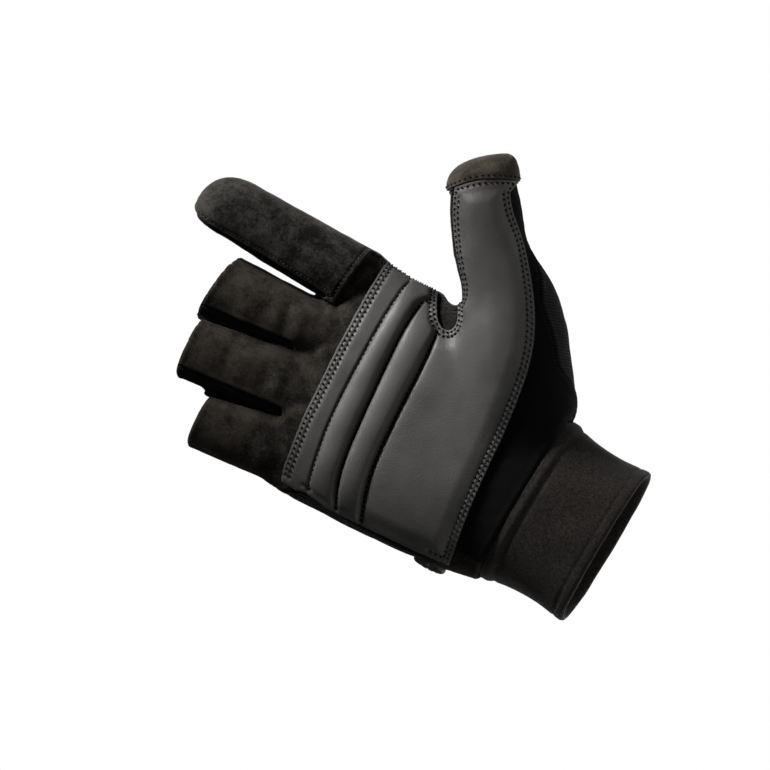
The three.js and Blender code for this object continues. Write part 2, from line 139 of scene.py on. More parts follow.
# Corners of outlines and sewn lines seen from the palm, as (x, z)
PAD_TOP = [(-31.8, 117.4), (-27.5, 118.6), (-8.3, 120.2), (20, 120.6), (56.4, 120.2), (66, 119.6)]
PAD_NOTCH = [
    (66, 104), (53.8, 97.9), (48.9, 94.9), (45.3, 92.2), (43.7, 88.6), (45.6, 85.9), (49.5, 85.4),
    (55.5, 88.6),
]
PAD_THUMB_SIDE = [(62, 97), (70, 106), (84.9, 115.7)]
PAD_THUMB_HEM = [(89.3, 110), (97.2, 101.2), (103.3, 90.1)]
PAD_HEEL_EDGE = [
    (97.9, 90.5), (92.6, 86.6), (84.3, 78.4), (72, 68), (59.2, 60.2), (45, 55.4), (25.7, 52.8), (7.5, 52),
    (-10.7, 51), (-30.8, 48.8),
]
PAD_LITTLE_SIDE = [(-31.6, 62), (-32.4, 78), (-32.8, 94), (-32.6, 108)]
INDEX_HEM = [(30, 130.4), (66, 125.6)]
HEEL_CORNER = [(-60, 30), (-25.2, 30), (-25.2, 42), (-22, 60), (-60, 60)]  # suede, by the rubber tab
HEEL_OVERLAP = 3  # the heel's jersey runs on under the grip patch
RIB_LINES = [
    [(-33.6, 106.8), (-3.7, 110.9), (33.7, 110.7), (54.9, 109.1)],
    [(-33.6, 94.6), (-16, 99.4), (14.9, 101.4), (44.9, 101.8), (52, 98.4)],
    [(-33.6, 84.2), (-15.5, 89), (3.3, 90.2), (26.3, 90.3), (43, 91)],
]


# Small mathematics


def smoothstep(value, low, high):
    t = np.clip((value - low) / (high - low), 0, 1)
    return t * t * (3 - 2 * t)


def hill(distance, width):
    """A smooth rise: 1 at no distance, and next to nothing past twice the width."""
    return np.exp(-((distance / width) ** 2))


def catmull(values, t):
    """A smooth value through a list's values at t from 0 to 1."""
    last = len(values) - 1
    at = min(max(t, 0), 1) * last
    row = min(int(at), last - 1)
    a, b, c, d = (values[min(max(row + k, 0), last)] for k in (-1, 0, 1, 2))
    u = at - row
    return 0.5 * (2 * b + (c - a) * u + (2 * a - 5 * b + 4 * c - d) * u * u + (3 * b - a - 3 * c + d) * u**3)


def between(rows, column, t):
    return catmull([getattr(row, column) for row in rows], t)


def smooth_line(corners, count):
    """Points of a smooth line through a few corners."""
    xs, zs = zip(*corners)
    return [(catmull(xs, k / count), catmull(zs, k / count)) for k in range(count + 1)]


def line_height(line, x):
    """The z of a sewn line, drawn from left to right, at each x."""
    points = sorted(smooth_line(line, LINE_POINTS))
    xs, zs = zip(*points)
    return np.interp(x, xs, zs)


def polygon_distance(x, z, outline):
    """Distance from an outline, negative inside it."""
    corners = np.array(outline)
    ends = np.roll(corners, -1, axis=0)
    nearest = np.full(len(x), 1e9)
    inside = np.zeros(len(x), bool)
    for (ax, az), (bx, bz) in zip(corners, ends):
        dx, dz = bx - ax, bz - az
        share = np.clip(((x - ax) * dx + (z - az) * dz) / max(dx * dx + dz * dz, 1e-9), 0, 1)
        nearest = np.minimum(nearest, np.hypot(x - ax - share * dx, z - az - share * dz))
        if az != bz:
            inside ^= ((z < az) != (z < bz)) & (x < ax + (z - az) / (bz - az) * dx)
    return np.where(inside, -nearest, nearest)


def soft_noise(points, size, seed):
    """Smooth noise from -1 to 1, with lumps of a size in millimetres, at each point."""
    shift = Vector((seed * 7.3, seed * 3.1, seed * 5.7))
    return np.array([noise.noise(Vector(p) / size + shift) for p in points])


# Tubes through rings

Ring = namedtuple(
    "Ring", "centre width_axis depth_axis along_axis half_width front back cut rake", defaults=(0, 0)
)


def signed_power(value, power):
    return math.copysign(abs(value) ** power, value)


def place_on_ring(ring, width, depth, squareness):
    across = signed_power(width, 2 / squareness) * ring.half_width
    deep = signed_power(depth, 2 / squareness)
    behind = deep * (ring.front if deep < 0 else ring.back)
    flat = ring.centre + ring.width_axis * across + ring.depth_axis * behind
    return flat + ring.along_axis * (across * ring.cut - behind * ring.rake)


def add_loop(bm, sides, place):
    """Adds a circle, moves each of its vertices to its place, and gives its edges."""
    made = bmesh.ops.create_circle(bm, segments=sides, radius=1)["verts"]
    for vert in made:
        vert.co = place(vert.co.x, vert.co.y)
    return list(dict.fromkeys(edge for vert in made for edge in vert.link_edges))


def bridge(bm, loops):
    for low, high in zip(loops, loops[1:]):
        bmesh.ops.bridge_loops(bm, edges=low + high)


def close_tube(bm, loops):
    """Bridges the loops, caps both ends, and turns millimetres into metres."""
    bridge(bm, loops)
    bmesh.ops.holes_fill(bm, edges=loops[0] + loops[-1], sides=0)
    bmesh.ops.recalc_face_normals(bm, faces=bm.faces)
    bmesh.ops.scale(bm, verts=bm.verts, vec=(MM, MM, MM))


def tube(rings, sides, squareness, dent=None):
    """A closed tube through rings. A dent is a depth taken off its front."""
    bm = bmesh.new()

    def place(ring, width, depth):
        at = place_on_ring(ring, width, depth, squareness)
        if dent and depth < 0:
            at.y += abs(signed_power(depth, 2 / squareness)) * dent(at.x, at.z)
        return at

    close_tube(bm, [add_loop(bm, sides, lambda width, depth: place(ring, width, depth)) for ring in rings])
    return bm


UPRIGHT = {
    "width_axis": Vector((1, 0, 0)),
    "depth_axis": Vector((0, 1, 0)),
    "along_axis": Vector((0, 0, 1)),
}


def dome(u):
    """How far along, and how wide, a rounded end is at u from 0 to 1."""
    angle = math.radians(88) * u
    return math.sin(angle), math.cos(angle) ** 0.8


def palm_tube():
    count = 40
    rings = []
    for k in range(count + 1):
        t = k / count
        left, right = between(PALM, "left", t), between(PALM, "right", t)
        rings.append(
            Ring(
                centre=Vector(((left + right) / 2, 0, between(PALM, "z", t))),
                half_width=(right - left) / 2,
                front=between(PALM, "front", t),
                back=between(PALM, "back", t),
                **UPRIGHT,
            )
        )

    def hollow(x, z):
        across, up = (x - HOLLOW.x) / HOLLOW.width, (z - HOLLOW.z) / HOLLOW.height
        return HOLLOW.depth * math.exp(-across * across - up * up)

    return tube(rings, 120, 2.5, hollow)


def finger_tube(finger):
    body_end = finger.end - FINGERTIP if finger.closed else finger.end + OVERRUN
    body_share = 0.6 if finger.closed else 1
    pairs = {key: pair for key, pair in finger._asdict().items() if isinstance(pair, tuple)}
    count = 40
    rings = []
    for k in range(count + 1):
        t = k / count
        u = min(t / body_share, 1)
        along, width = dome((t - body_share) / (1 - body_share)) if t > body_share else (0, 1)
        swell = (SWELL_START + (1 - SWELL_START) * smoothstep(u, 0, SWELL_OVER)) * width
        at = {key: start + (end - start) * u for key, (start, end) in pairs.items()}
        depth = at["half_depth"] * swell
        height = ROOT_Z + (body_end - ROOT_Z) * u + along * FINGERTIP
        rings.append(
            Ring(
                centre=Vector((at["x"] - FINGERTIP_LEAN * (1 - width), at["y"], height)),
                half_width=at["half_width"] * swell,
                front=depth,
                back=depth,
                cut=finger.cut * u,
                **UPRIGHT,
            )
        )
    return tube(rings, 64, 2.2)


def thumb_centre(u):
    return Vector([between(THUMB, axis, u) for axis in "xyz"])


def thumb_tube():
    """The thumb, ending in a fold just above the cuff's seam."""
    count, body_share, step = 64, 0.7, 0.02
    rings = []
    for k in range(count + 1):
        t = k / count
        u = min(t / body_share, 1)
        further, size = dome((t - body_share) / (1 - body_share)) if t > body_share else (0, 1)
        along = (thumb_centre(min(u + step, 1)) - thumb_centre(min(u, 1 - step) - step)).normalized()
        width = Vector((0, 1, 0)).cross(along).normalized()
        rings.append(
            Ring(
                centre=thumb_centre(u) + along * further * THUMB_TIP + width * THUMB_TIP_LEAN * (1 - size),
                width_axis=width,
                depth_axis=along.cross(width),
                along_axis=along,
                half_width=between(THUMB, "half_width", u) * size,
                front=between(THUMB, "front", u) * size,
                back=between(THUMB, "back", u) * size,
            )
        )
    bm = tube(rings, 88, 2.1)
    cut_flat(bm, SEAM_Z + THUMB_FOLD)
    return bm


CUFF_AXIS = Vector((math.sin(CUFF_TILT), 0, math.cos(CUFF_TILT)))


def cut_flat(bm, height, close=True):
    """Takes away what lies below the raked plane at a height on the cuff's leaning axis."""
    upward = CUFF_AXIS * math.cos(CUFF_RAKE) + Vector((0, math.sin(CUFF_RAKE), 0))
    whole = bm.verts[:] + bm.edges[:] + bm.faces[:]
    made = bmesh.ops.bisect_plane(
        bm, geom=whole, plane_co=CUFF_AXIS * height * MM, plane_no=upward, clear_inner=True
    )
    if close:
        edges = [part for part in made["geom_cut"] if isinstance(part, bmesh.types.BMEdge)]
        bmesh.ops.holes_fill(bm, edges=edges, sides=0)


# Meshes and objects


def new_object(name, bm):
    mesh = bpy.data.meshes.new(name)
    bm.to_mesh(mesh)
    bm.free()
    made = bpy.data.objects.new(name, mesh)
    bpy.context.scene.collection.objects.link(made)
    return made


def remeshed(obj, size):
    """The object's outer skin as even quads."""
    modifier = obj.modifiers.new("skin", "REMESH")
    modifier.mode = "VOXEL"
    modifier.voxel_size = size * MM
    evaluated = obj.evaluated_get(bpy.context.evaluated_depsgraph_get())
    bm = bmesh.new()
    bm.from_mesh(evaluated.to_mesh())
    evaluated.to_mesh_clear()
    bpy.data.objects.remove(obj)
    return bm


def coordinates(bm):
    return np.array([vert.co[:] for vert in bm.verts]) / MM


def normals(bm):
    bm.normal_update()
    return np.array([vert.normal[:] for vert in bm.verts])


def web_ball(web):
    bm = bmesh.new()
    bmesh.ops.create_uvsphere(bm, u_segments=32, v_segments=20, radius=MM)
    bmesh.ops.scale(bm, verts=bm.verts, vec=(web.half_width, web.half_depth, web.height))
    bmesh.ops.translate(bm, verts=bm.verts, vec=Vector((web.x, web.y, web.z)) * MM)
    return bm


# Where the thumb's mound and its web melt into the palm, as (x, z)
MOUND_FOLD = [(56, 92), (48, 89), (37, 82), (24, 72), (14.5, 58.7), (12, 46)]
MELTING = ((15, 70), (10, 70))  # so many millimetres to each side of it, and rounds of smoothing
MELTS_BEFORE = -4  # only on the palm side of this depth


def soften(bm, verts, rounds):
    for _ in range(rounds):
        bmesh.ops.smooth_vert(bm, verts=verts, factor=0.5, use_axis_x=True, use_axis_y=True, use_axis_z=True)


def melt(bm):
    places = coordinates(bm)
    front = np.flatnonzero(places[:, 1] < MELTS_BEFORE)
    fold = tree_of([(x, 0, z) for x, z in smooth_line(MOUND_FOLD, LINE_POINTS)])
    away = distances(fold, places[front] * np.array([1, 0, 1]))
    verts = list(bm.verts)
    for reach, rounds in MELTING:
        soften(bm, [verts[k] for k in front[away < reach]], rounds)


def hand_skin():
    """The hand's outside: palm, thumb and fingers in one skin, open at the wrist and the cut fingers."""
    whole = bmesh.new()
    parts = [palm_tube(), thumb_tube(), *map(finger_tube, FINGERS), *map(web_ball, WEBS)]
    for part in parts:
        mesh = bpy.data.meshes.new("part")
        part.to_mesh(mesh)
        part.free()
        whole.from_mesh(mesh)
        bpy.data.meshes.remove(mesh)
    bm = remeshed(new_object("skin", whole), SKIN_GRID)
    soften(bm, bm.verts, SKIN_SMOOTHING)
    melt(bm)
    cut_flat(bm, SEAM_Z, close=False)
    keep(bm, past_stall_ends)
    return bm


def keep(bm, field):
    """Cuts the mesh where the field changes sign and keeps what is negative."""
    bm.verts.index_update()
    value = field(coordinates(bm))
    value = np.where(np.abs(value) < 1e-3, 1e-3, value).tolist()
    outside = [vert for vert in bm.verts if value[vert.index] > 0]
    crossing = [e for e in bm.edges if (value[e.verts[0].index] > 0) != (value[e.verts[1].index] > 0)]
    cuts = []
    for edge in crossing:
        start, end = edge.verts
        share = value[start.index] / (value[start.index] - value[end.index])
        cuts.append(bmesh.utils.edge_split(edge, start, share)[1])
    bmesh.ops.connect_verts(bm, verts=cuts)
    bmesh.ops.delete(bm, geom=outside, context="VERTS")
    rim = [vert for vert in cuts if vert.is_valid]
    close_by = list(dict.fromkeys(other for vert in rim for edge in vert.link_edges for other in edge.verts))
    bmesh.ops.remove_doubles(bm, verts=close_by, dist=MERGE * MM)


def largest_part(bm):
    """Drops loose scraps beside the main part."""
    left = dict.fromkeys(bm.verts)
    parts = []
    while left:
        part, front = [], [next(iter(left))]
        del left[front[0]]
        while front:
            vert = front.pop()
            part.append(vert)
            for edge in vert.link_edges:
                other = edge.other_vert(vert)
                if other in left:
                    del left[other]
                    front.append(other)
        parts.append(part)
    parts.sort(key=len)
    bmesh.ops.delete(bm, geom=[vert for part in parts[:-1] for vert in part], context="VERTS")


# Fields: negative on the side that is kept


def finger_at(finger, column, z):
    """A finger's centre or half width at each height."""
    start, end = getattr(finger, column)
    return start + (end - start) * np.clip((z - ROOT_Z) / (finger.end - ROOT_Z), 0, 1)


def crotch_x(right, left, z):
    """The middle of the gap between two neighbouring fingers."""
    right_edge = finger_at(right, "x", z) - finger_at(right, "half_width", z)
    left_edge = finger_at(left, "x", z) + finger_at(left, "half_width", z)
    return (right_edge + left_edge) / 2


STALL_ARC = 0.06  # the stall's front edge reaches a little further than its back


def past_stall_ends(p):
    x, y, z = p.T
    index, middle, ring, little = FINGERS
    field = z - REACH
    for finger, low, high in (
        (middle, crotch_x(middle, ring, z), crotch_x(index, middle, z)),
        (ring, crotch_x(ring, little, z), crotch_x(middle, ring, z)),
        (little, -REACH, crotch_x(ring, little, z)),
    ):
        end = finger.end + finger.cut * (x - finger.x[1]) - STALL_ARC * y
        field = np.where((x > low) & (x <= high) & (z > ROOT_Z + 20), z - end, field)
    return field


def on_thumb_axis(x, z):
    """How far along the thumb, and out from its axis away from the fingers, each point lies."""
    dx, dz = x - THUMB_START[0], z - THUMB_START[1]
    return dx * THUMB_ALONG[0] + dz * THUMB_ALONG[1], dx * THUMB_ALONG[1] - dz * THUMB_ALONG[0]


def seam_middle(x, z):
    """Depth of the seam between the palm side and the back."""
    along, outward = on_thumb_axis(x, z)
    on_thumb = (1 - smoothstep(-outward, 18, 27)) * smoothstep(along, 0, 30)
    forward = SEAM_FORWARD * smoothstep(outward, -8, 6) * smoothstep(along, 8, 34)
    forward *= 1 - smoothstep(along, 52, 84)
    forward += INNER_FORWARD * smoothstep(-outward, 2, 10) * smoothstep(along, 50, 64)
    side_wrap = (1 - smoothstep(x, -32, -24)) * smoothstep(z, 46, 60) * (1 - smoothstep(z, 108, 122))
    return on_thumb * (-2 - 0.15 * along - forward) - SIDE_WRAP * side_wrap


# How far forward a finger strip reaches, on the finger's own side towards the little finger and on the other
STRIP_NEAR = {"index": 7.6, "middle": 9, "ring": 9}
STRIP_FAR = 3.2
STRIP_BACK = 4.6
STRIP_STARTS = [(-9, 124.5), (11.5, 132.5), (34, 129)]  # where each crotch begins, as (x, z)


def strip_window(x, z):
    start = np.interp(x, *zip(*STRIP_STARTS))
    return smoothstep(x, -30, -21) * (1 - smoothstep(x, 39, 46)) * smoothstep(z - start, -1, 6)


def strip_front(x, z):
    """The strips reach further round on the little finger's side of each finger."""
    value = np.full(len(x), STRIP_FAR)
    for right, left in zip(FINGERS, FINGERS[1:]):
        gap = crotch_x(right, left, z)
        centre = finger_at(right, "x", z)
        near = smoothstep(x, gap - 1, gap + 1) * (1 - smoothstep(x, centre - 3, centre + 3))
        value += (STRIP_NEAR[right.name] - STRIP_FAR) * near
    return value


def palm_side(p):
    x, y, z = p.T
    return y - (seam_middle(x, z) - strip_front(x, z) * strip_window(x, z)) + SEAM_GAP / 2


def back_side(p):
    x, y, z = p.T
    return seam_middle(x, z) + STRIP_BACK * strip_window(x, z) - y + SEAM_GAP / 2


HEEL_LINE = sorted(smooth_line(PAD_HEEL_EDGE, 48))


def above_heel(x, z):
    """How far a point lies on the fingers' side of the grip patch's heel edge."""
    xs, zs = zip(*HEEL_LINE)
    slope = np.gradient(zs, xs)
    return (z - np.interp(x, xs, zs)) * np.cos(np.arctan(np.interp(x, xs, slope)))


PAD_OUTLINE = [
    *PAD_TOP,
    *smooth_line(PAD_NOTCH, 24),
    *smooth_line(PAD_THUMB_SIDE, 6),
    *smooth_line(PAD_THUMB_HEM, 8),
    *smooth_line(PAD_HEEL_EDGE, 36),
    *PAD_LITTLE_SIDE,
]


def thumb_cap_outline():
    edge = [(x + GAP, z + GAP) for x, z in smooth_line(PAD_THUMB_HEM, 8)]
    (first_x, first_z), (last_x, last_z) = edge[0], edge[-1]
    return [
        *edge,
        (last_x + 4, last_z - 8),
        (last_x + 60, last_z),
        (first_x + 20, first_z + 50),
        (first_x - 4, first_z + 6),
    ]


# Sewn pieces


def patch(skin, *fields):
    """The part of the skin where every field is negative."""
    bm = skin.copy()
    for field in fields:
        keep(bm, field)
    largest_part(bm)
    return bm


def refine(bm, near):
    """Halves the quads whose middle lies where near says."""
    faces = bm.faces[:]
    middles = np.array([face.calc_center_median()[:] for face in faces]) / MM
    chosen = near(middles)
    edges = list(dict.fromkeys(edge for face, yes in zip(faces, chosen) if yes for edge in face.edges))
    bmesh.ops.subdivide_edges(bm, edges=edges, cuts=1, use_grid_fill=True)


def boundary_loops(bm):
    """The open edges of a patch as ordered loops of vertices."""
    following = {}
    for edge in bm.edges:
        if edge.is_boundary:
            for vert in edge.verts:
                following.setdefault(vert, []).append(edge)
    loops, used = [], set()
    for start in following:
        if start in used:
            continue
        loop, vert, came = [], start, None
        while vert not in used:
            used.add(vert)
            loop.append(vert)
            ahead = [edge for edge in following[vert] if edge is not came]
            came = ahead[0]
            vert = came.other_vert(vert)
        loops.append(loop)
    return loops


def edge_tree(bm):
    """A search tree of the patch's open edges."""
    ends = [(edge.verts[0].co, edge.verts[1].co) for edge in bm.edges if edge.is_boundary]
    tree = KDTree(len(ends) * 3)
    for k, (a, b) in enumerate(ends):
        for j in range(3):
            tree.insert(a.lerp(b, j / 3) / MM, 3 * k + j)
    tree.balance()
    return tree


def distances(tree, points):
    return np.array([tree.find(p)[2] for p in points])


def tree_of(points):
    tree = KDTree(len(points))
    for k, p in enumerate(points):
        tree.insert(p, k)
    tree.balance()
    return tree


def smoothed(values, rounds):
    """A closed line's values, each averaged with its neighbours'."""
    for _ in range(rounds):
        values = (np.roll(values, 1, axis=0) + 2 * values + np.roll(values, -1, axis=0)) / 4
    return values


def unit(vectors):
    return vectors / np.maximum(np.linalg.norm(vectors, axis=1, keepdims=True), 1e-9)


def middle_of_faces(vert):
    middles = [face.calc_center_median() for face in vert.link_faces]
    return sum(middles, Vector()) / len(middles) / MM


def everywhere(p):
    return np.ones(len(p), bool)


SHORTEST_LOOP = 40  # an open edge with fewer vertices is a flaw in the patch
CORNER_SHARE = 0.86  # a row stops where the edge is nearer than this share of its inset, as in a corner


def edge_rows(bm, inset, where=everywhere, edges=None):
    """Lines along the patch's open edge, at a distance inside it and where asked for, as lists of points."""
    tree = edges or edge_tree(bm)
    surface = BVHTree.FromBMesh(bm)
    rows = []
    for loop in boundary_loops(bm):
        if len(loop) < SHORTEST_LOOP:
            continue
        points = smoothed(np.array([vert.co[:] for vert in loop]) / MM, 6)
        along = unit(np.roll(points, -1, axis=0) - np.roll(points, 1, axis=0))
        inward = np.array([middle_of_faces(vert) for vert in loop]) - points
        inward = unit(smoothed(inward - along * np.sum(inward * along, axis=1, keepdims=True), 8))
        moved = points + inward * inset
        good = where(moved) & (distances(tree, moved) > CORNER_SHARE * inset)
        rows += runs(moved, good, surface)
    return rows


def runs(points, good, surface):
    """Splits a closed line into the stretches that are good, laid on the surface."""
    if good.all():
        order = [*range(len(points)), 0]
    else:
        first = int(np.argmin(good))
        order = [(first + k) % len(points) for k in range(len(points))]
    found, run = [], []
    for k in order:
        if good[k]:
            run.append(surface.find_nearest(Vector(points[k]) * MM)[0] / MM)
        elif run:
            found.append(run)
            run = []
    found.append(run)
    return [run for run in found if len(run) > 6]


FRONT_LINE_POINTS = 160
IN_FRONT = -0.08  # clear of the palm, in metres


def front_line(bm, corners):
    """A sewn line given seen from the palm, laid on the patch's front."""
    surface = BVHTree.FromBMesh(bm)
    starts = [Vector((x * MM, IN_FRONT, z * MM)) for x, z in smooth_line(corners, FRONT_LINE_POINTS)]
    hits = [surface.ray_cast(start, Vector((0, 1, 0)))[0] for start in starts]
    return [hit / MM for hit in hits if hit]


def spaced(points, pitch):
    """Points a pitch apart along a line."""
    points = np.array([p[:] for p in points])
    steps = np.linalg.norm(np.diff(points, axis=0), axis=1)
    reach = np.concatenate([[0], np.cumsum(steps)])
    count = max(int(round(reach[-1] / pitch)), 1)
    at = np.linspace(0, reach[-1], count + 1)
    return np.stack([np.interp(at, reach, points[:, k]) for k in range(3)], axis=1)


def stitch_holes(rows, pitch=STITCH_PITCH):
    return np.concatenate([spaced(row, pitch) for row in rows]) if rows else np.zeros((0, 3))


def closed_body(bm, outside, inside):
    """Turns an open patch into a body with faces of three finishes: 0 outside, 1 cut edge, 2 inside."""
    source = bm.verts.layers.int.new("source")
    for k, vert in enumerate(bm.verts):
        vert[source] = k
    inner = bm.faces[:]
    made = bmesh.ops.extrude_face_region(bm, geom=inner, use_keep_orig=True)["geom"]
    outer_verts = {part for part in made if isinstance(part, bmesh.types.BMVert)}
    outer_faces = {part for part in made if isinstance(part, bmesh.types.BMFace)}
    inner_faces = set(inner)
    for vert in bm.verts:
        place = outside if vert in outer_verts else inside
        vert.co = Vector(place[vert[source]]) * MM
    bmesh.ops.reverse_faces(bm, faces=inner)
    for face in bm.faces:
        face.smooth = True
        if face in inner_faces:
            face.material_index = 2
        else:
            face.material_index = 0 if face in outer_faces else 1
    bm.normal_update()
    bm.verts.layers.int.remove(source)


def sewn(name, bm, relief, lift, thickness, finishes, replaces):
    """Makes a patch into a piece. relief is the height added to its outside at each point."""
    points, out = coordinates(bm), normals(bm)
    raised = points + out * (lift + thickness + relief)[:, None]
    closed_body(bm, raised, points + out * lift)
    return finished(new_object(name, bm), finishes, replaces)


def finished(obj, finishes, replaces=()):
    """Gives a piece its materials and its place in the frame."""
    obj.data.materials.clear()
    for finish in finishes:
        obj.data.materials.append(finish)
    obj.data.shade_smooth()
    obj.data.set_sharp_from_angle(angle=math.radians(48))
    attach(obj, "root")
    if replaces:
        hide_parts(*replaces)
    return obj


# Stitches


def stitch_shape(length, thread):
    """One stitch along X: a short thread that dips into the cloth at both ends."""
    count = 6
    rings = []
    for k in range(count + 1):
        t = k / count
        size = thread / 2 * (0.35 + 0.65 * math.sin(math.pi * t) ** 0.5)
        rings.append(
            Ring(
                centre=Vector(((t - 0.5) * length, 0, thread * (0.75 * math.sin(math.pi * t) - 0.45))),
                width_axis=Vector((0, 1, 0)),
                depth_axis=Vector((0, 0, 1)),
                along_axis=Vector((1, 0, 0)),
                half_width=size,
                front=size,
                back=size,
            )
        )
    bm = tube(rings, 6, 2)
    mesh = bpy.data.meshes.new("stitch")
    bm.to_mesh(mesh)
    bm.free()
    return mesh


FORWARD = Vector((0, -1, 0))  # out of the palm
DROP = 0.008  # a stitch is dropped onto the cloth from this far, in metres


def stitches(name, rows, carrier, finish, share, thread, pitch=STITCH_PITCH, sunken=False):
    """Rows of stitches on the outside of a piece, in one mesh. Sunken ones lie in a groove of the palm."""
    one = stitch_shape(pitch * share, thread)
    local = np.array([vert.co[:] for vert in one.vertices])
    faces = [list(face.vertices) for face in one.polygons]
    bpy.data.meshes.remove(one)
    surface = BVHTree.FromObject(carrier, bpy.context.evaluated_depsgraph_get())
    places, polygons = [], []
    for row in rows:
        ends = spaced(row, pitch)
        for a, b in zip(ends, ends[1:]):
            middle = Vector((a + b) / 2) * MM
            near, normal, _, _ = surface.find_nearest(middle)
            outward = FORWARD if sunken else outward_at(surface, middle, normal)
            hit, normal, _, _ = surface.ray_cast(middle + outward * DROP, -outward)
            if hit is None:
                hit, normal = near, outward
            if sunken:
                normal = FORWARD
            along = Vector(b - a).normalized()
            along = (along - normal * along.dot(normal)).normalized()
            matrix = Matrix((along, normal.cross(along), normal)).transposed()
            start = len(places) * len(local)
            places.append(local @ np.array(matrix).T + np.array(hit))
            polygons += [[start + k for k in face] for face in faces]
    mesh = bpy.data.meshes.new(name)
    mesh.from_pydata(np.concatenate(places).tolist(), [], polygons)
    obj = bpy.data.objects.new(name, mesh)
    bpy.context.scene.collection.objects.link(obj)
    return finished(obj, [finish])


def outward_at(surface, point, normal):
    """The outward direction near a point just under the piece's outer face."""
    for direction in (normal, -normal):
        hit, out, _, _ = surface.ray_cast(point + direction * DROP, -direction)
        if hit is not None and out.dot(direction) > 0.3:
            return direction
    return normal


# Finishes


def linear(hex_colour):
    """An sRGB hex colour as linear light."""
    parts = [int(hex_colour[k : k + 2], 16) / 255 for k in (1, 3, 5)]
    return (*(p / 12.92 if p <= 0.04045 else ((p + 0.055) / 1.055) ** 2.4 for p in parts), 1)


def add_node(tree, kind, settings=(), links=()):
    """Adds a shader node, sets its sockets and options, and links its sockets."""
    made = tree.nodes.new("ShaderNode" + kind)
    for key, value in dict(settings).items():
        if isinstance(key, int) or key in made.inputs:
            made.inputs[key].default_value = value
        else:
            setattr(made, key, value)
    for key, source in dict(links).items():
        tree.links.new(source, made.inputs[key])
    return made


def new_finish(name, **shader):
    """An empty material with its shader, and the piece's own coordinates."""
    material = bpy.data.materials.new(name)
    material.use_nodes = True
    tree = material.node_tree
    tree.nodes.clear()
    skin = add_node(tree, "BsdfPrincipled", {key.replace("_", " "): value for key, value in shader.items()})
    add_node(tree, "OutputMaterial", links={"Surface": skin.outputs[0]})
    place = add_node(tree, "TexCoord").outputs["Object"]
    return material, tree, skin, place


def per_mm(size):
    """A texture scale whose lumps are about this many millimetres."""
    return 1 / (size * MM)


def mixed_colour(tree, factor, low, high, dark, light):
    """Blends two colours as a texture's value goes from low to high."""
    share = add_node(tree, "MapRange", {"From Min": low, "From Max": high}, {"Value": factor})
    blend = {"data_type": "RGBA", 6: dark, 7: light}
    return add_node(tree, "Mix", blend, {0: share.outputs[0]}).outputs[2]


def cover(tree, skin, colour, height, strength, depth):
    """Gives the shader its colour, and from a texture's value a relief of a depth in millimetres."""
    tree.links.new(colour, skin.inputs["Base Color"])
    bump = add_node(tree, "Bump", {"Strength": strength, "Distance": depth * MM}, {"Height": height})
    tree.links.new(bump.outputs[0], skin.inputs["Normal"])


FIBRE_SHARE = 0.85  # of the fibres beside the nap's patches, in a suede's colour
PAINTED_LIGHT_GAIN = 0.16  # how much lighter the suede is painted higher up, as painted light


def suede(name, dark, light, sheen, fuzz=0.5, nap=9.0, depth=0.12, painted_light_heights=None):
    """Brushed synthetic suede: a matt pile of fine fibres that lies lighter and darker in soft patches."""
    material, tree, skin, place = new_finish(
        name,
        Roughness=0.95,
        IOR=1.45,
        Specular_IOR_Level=0.12,
        Sheen_Weight=sheen,
        Sheen_Roughness=0.45,
        Sheen_Tint=linear("#a89f94"),
    )
    brushed = {"Scale": per_mm(fuzz), "Detail": 5, "Roughness": 0.7}
    fibres = add_node(tree, "TexNoise", brushed, {"Vector": place}).outputs[0]
    lying = {"Scale": per_mm(nap), "Detail": 4, "Roughness": 0.62}
    patches = add_node(tree, "TexNoise", lying, {"Vector": place}).outputs[0]
    both = add_node(tree, "Math", {"operation": "MULTIPLY_ADD", 1: FIBRE_SHARE}, {0: fibres, 2: patches})
    if painted_light_heights:
        # Painted light and shade: the nap is painted lighter from one height on the glove to another
        heights = add_node(tree, "SeparateXYZ", links={0: place}).outputs[2]
        start, full = painted_light_heights
        painted_ramp = {"From Min": start * MM, "From Max": full * MM, "To Max": PAINTED_LIGHT_GAIN}
        painted_light = add_node(tree, "MapRange", painted_ramp, {"Value": heights})
        both = add_node(tree, "Math", {"operation": "ADD"}, {0: both.outputs[0], 1: painted_light.outputs[0]})
    colour = mixed_colour(tree, both.outputs[0], 0.8, 1.25, linear(dark), linear(light))
    cover(tree, skin, colour, fibres, 0.9, depth)
    return material


GRAIN = 0.62  # the embossed grain's cells
CREASE_WIDTH = 0.9
CREASE_LEAN = math.radians(38)


def grip_leather(name, dark, light):
    """Polyurethane synthetic leather: semi-matt, with an embossed grain and fine creases across it."""
    material, tree, skin, place = new_finish(name, Roughness=0.55, IOR=1.5, Specular_IOR_Level=0.42)
    cells = {"Scale": per_mm(GRAIN), "feature": "SMOOTH_F1", "Smoothness": 0.4}
    grain = add_node(tree, "TexVoronoi", cells, {"Vector": place}).outputs[0]
    drawn_out = {"Rotation": (0, CREASE_LEAN, 0), "Scale": (1, 1, 0.3)}
    stretched = add_node(tree, "Mapping", drawn_out, {"Vector": place}).outputs[0]
    fine = {"Scale": per_mm(CREASE_WIDTH), "Detail": 3, "Roughness": 0.6}
    creases = add_node(tree, "TexNoise", fine, {"Vector": stretched}).outputs[0]
    clouds = add_node(tree, "TexNoise", {"Scale": per_mm(14), "Detail": 3}, {"Vector": place})
    colour = mixed_colour(tree, clouds.outputs[0], 0.3, 0.72, linear(dark), linear(light))
    gloss = {"From Min": 0.25, "From Max": 0.75, "To Min": 0.52, "To Max": 0.68}
    rough = add_node(tree, "MapRange", gloss, {"Value": creases})
    tree.links.new(rough.outputs[0], skin.inputs["Roughness"])
    relief = add_node(tree, "Math", {"operation": "MULTIPLY_ADD", 1: 0.5}, {0: creases, 2: grain})
    cover(tree, skin, colour, relief.outputs[0], 0.5, 0.1)
    return material


